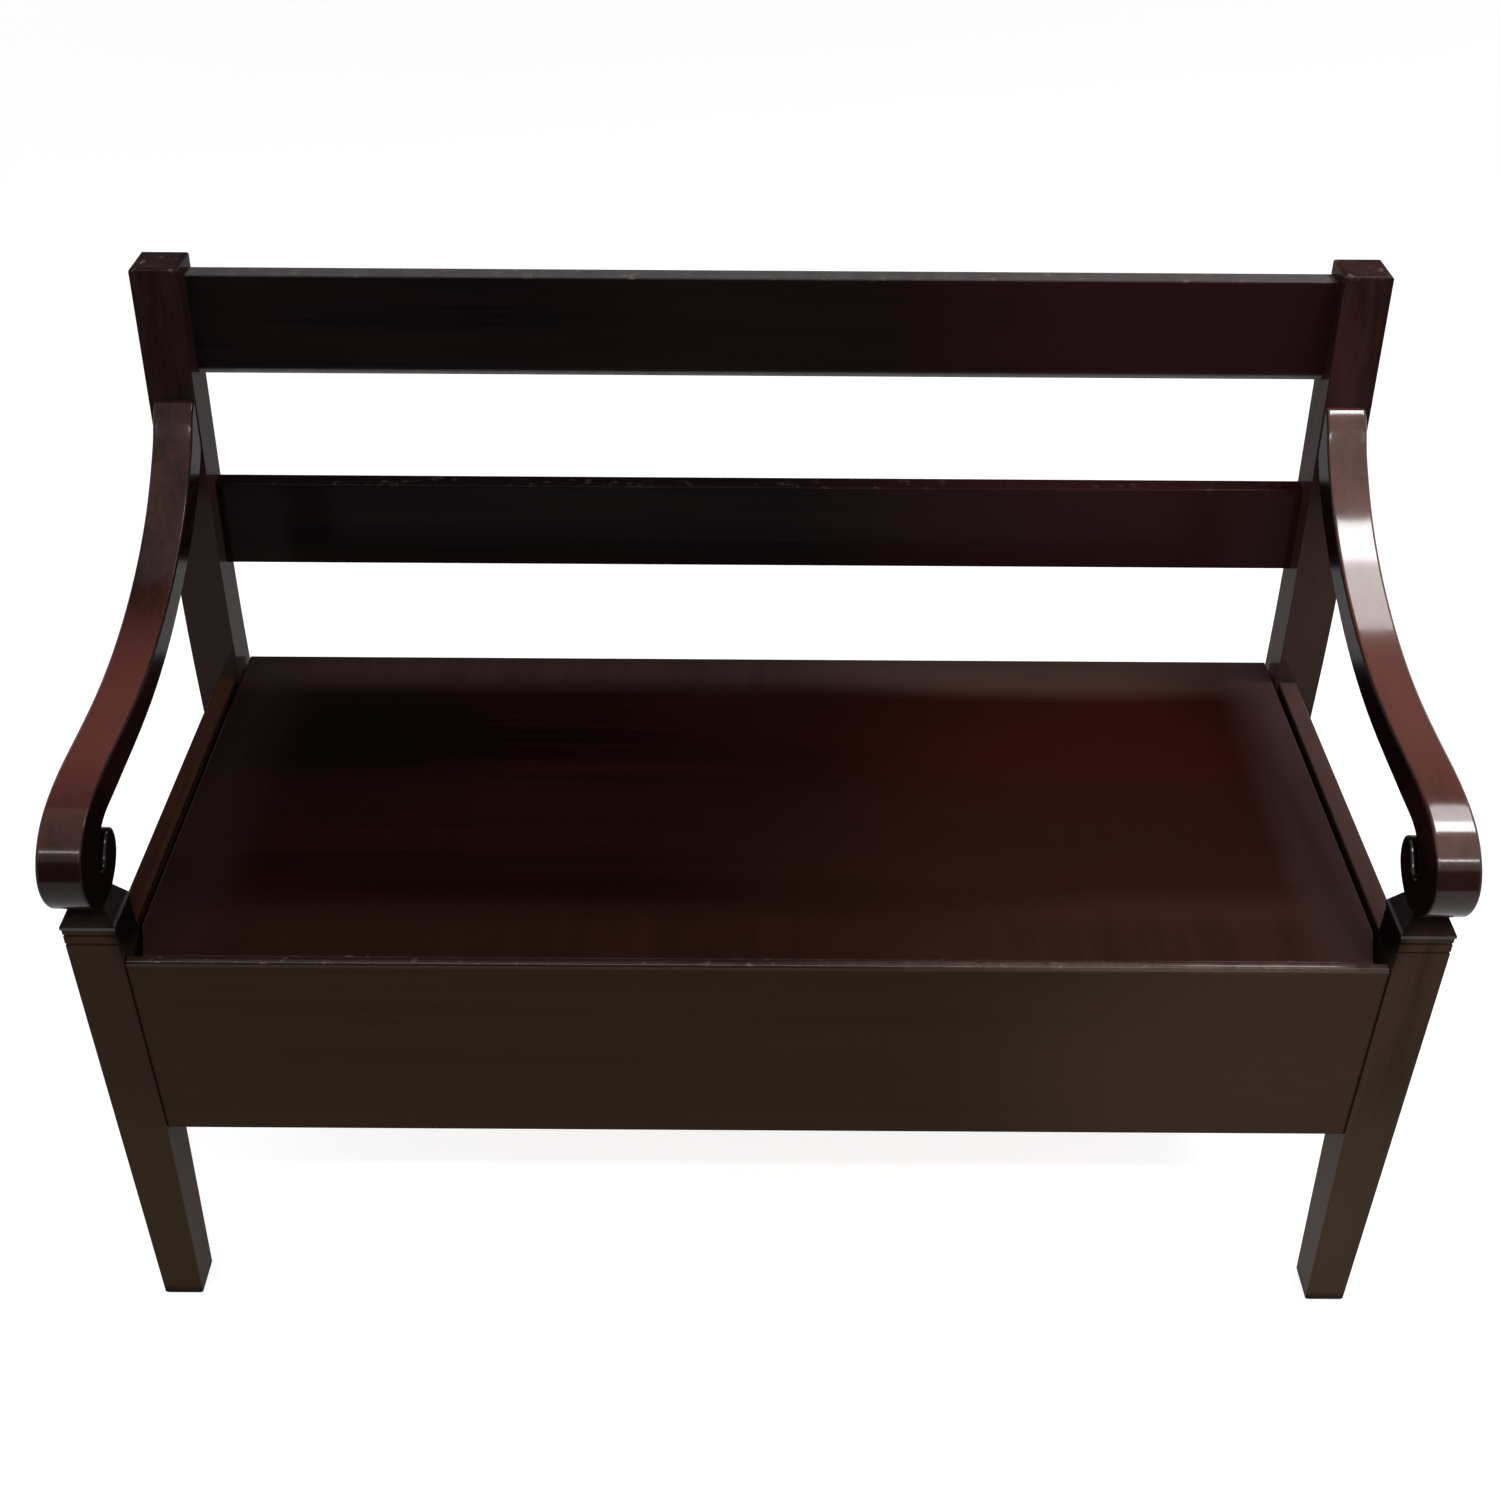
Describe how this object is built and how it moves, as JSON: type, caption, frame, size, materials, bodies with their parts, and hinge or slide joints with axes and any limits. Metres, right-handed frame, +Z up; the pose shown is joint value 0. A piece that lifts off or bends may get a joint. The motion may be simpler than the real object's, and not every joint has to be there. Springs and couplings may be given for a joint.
{
  "type": "bench",
  "caption": "Deacons bench: box seat with lift-up lid, open back with two flat rails, scrolled arms on capped square legs, dark lacquered wood",
  "frame": {"origin": "on the floor, under the middle of the bench's bounding box", "axes": "+X runs along the bench to the sitter's left (right in the picture), -Y is the front, +Z is up"},
  "size_m": [1.202, 0.5581, 0.895],
  "materials": {
    "frame_mahogany": "dark mahogany stain under glossy lacquer",
    "seat_mahogany": "dark red mahogany stain under glossy lacquer",
    "arm_mahogany": "reddish mahogany stain under glossy lacquer",
    "inner_wood": "stained softwood, not polished",
    "panel_wood": "thin stained plywood, matt",
    "dowel_wood": "plain beech",
    "hinge_brass": "dull lacquered brass",
    "steel_screw": "zinc-plated steel"
  },
  "bodies": {
    "bench_frame": {"front_leg_left": "frame_mahogany", "front_leg_right": "frame_mahogany", "back_post_left": "frame_mahogany", "back_post_right": "frame_mahogany", "front_apron": "frame_mahogany", "back_apron": "frame_mahogany", "side_apron_left": "frame_mahogany", "side_apron_right": "frame_mahogany", "crest_rail": "frame_mahogany", "mid_rail": "frame_mahogany", "arm_left": "arm_mahogany", "arm_right": "arm_mahogany", "arm_dowels": "dowel_wood", "bottom_panel": "panel_wood", "bottom_cleat_front": "inner_wood", "bottom_cleat_back": "inner_wood", "bottom_cleat_left": "inner_wood", "bottom_cleat_right": "inner_wood", "cleat_screws": "steel_screw", "hinge_frame_leaves": "hinge_brass", "hinge_frame_screws": "hinge_brass", "hinge_pins": "hinge_brass"},
    "lid": {"seat_lid": "seat_mahogany", "lid_batten_left": "inner_wood", "lid_batten_right": "inner_wood", "batten_screws": "steel_screw", "hinge_lid_leaves": "hinge_brass", "hinge_lid_screws": "hinge_brass"}
  },
  "joints": [
    {"name": "lid_hinge", "type": "hinge", "parent": "bench_frame", "child": "lid", "pos_m": [0, 0.2345, 0.44085], "axis": [-1, 0, 0], "range_deg": [0, 75]}
  ]
}
